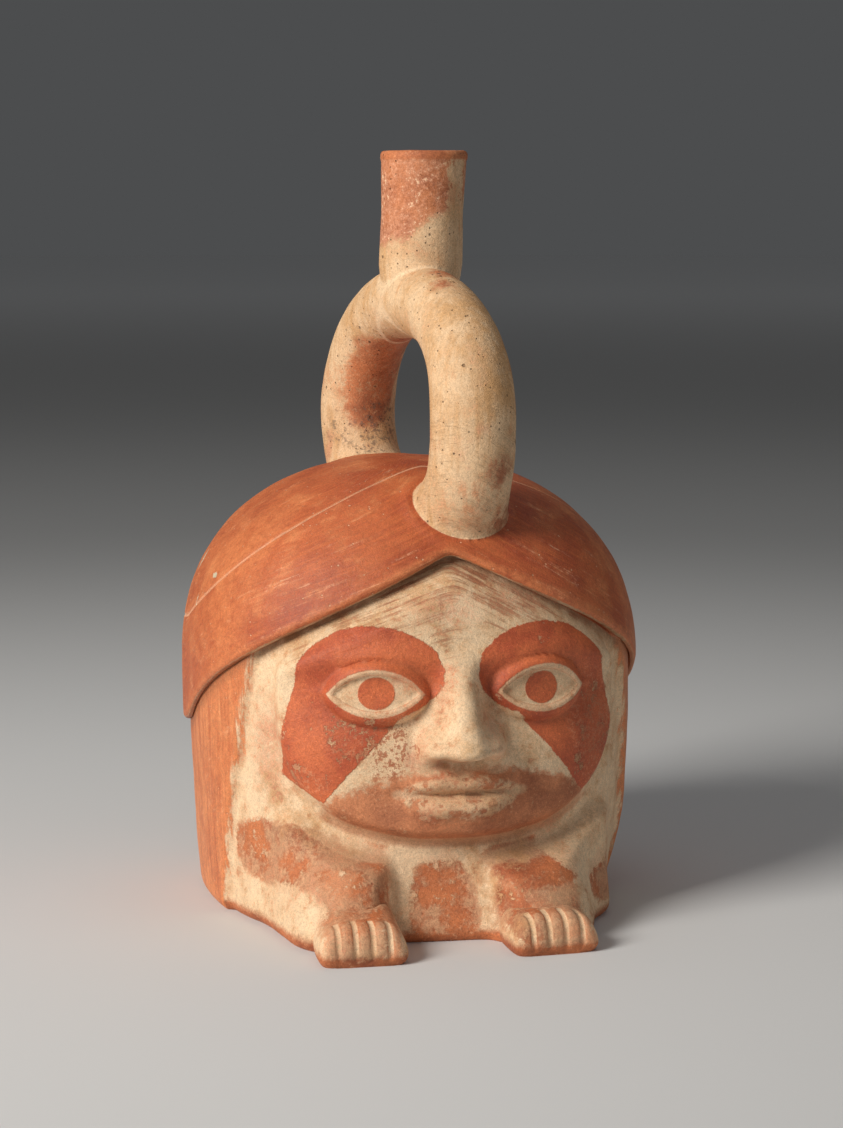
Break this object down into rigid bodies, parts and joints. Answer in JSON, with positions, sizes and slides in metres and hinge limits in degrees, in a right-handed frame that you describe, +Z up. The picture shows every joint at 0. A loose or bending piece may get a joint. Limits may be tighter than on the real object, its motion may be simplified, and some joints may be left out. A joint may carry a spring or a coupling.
{
  "type": "stirrup spout vessel",
  "caption": "Hollow earthenware vessel in the form of a crouching hooded figure, with an upright looped tube on the head that carries a single spout.",
  "frame": {"origin": "on the flat underside, below the middle of the head", "axes": "+Z up towards the spout; the figure faces -Y; +X is the left-hand side of the figure"},
  "size_m": [0.13, 0.1515, 0.214],
  "materials": {
    "slipped_earthenware": "fired clay with worn orange-red and cream slip, burnished in places"
  },
  "bodies": {
    "root": {"vessel": "slipped_earthenware"}
  },
  "joints": []
}
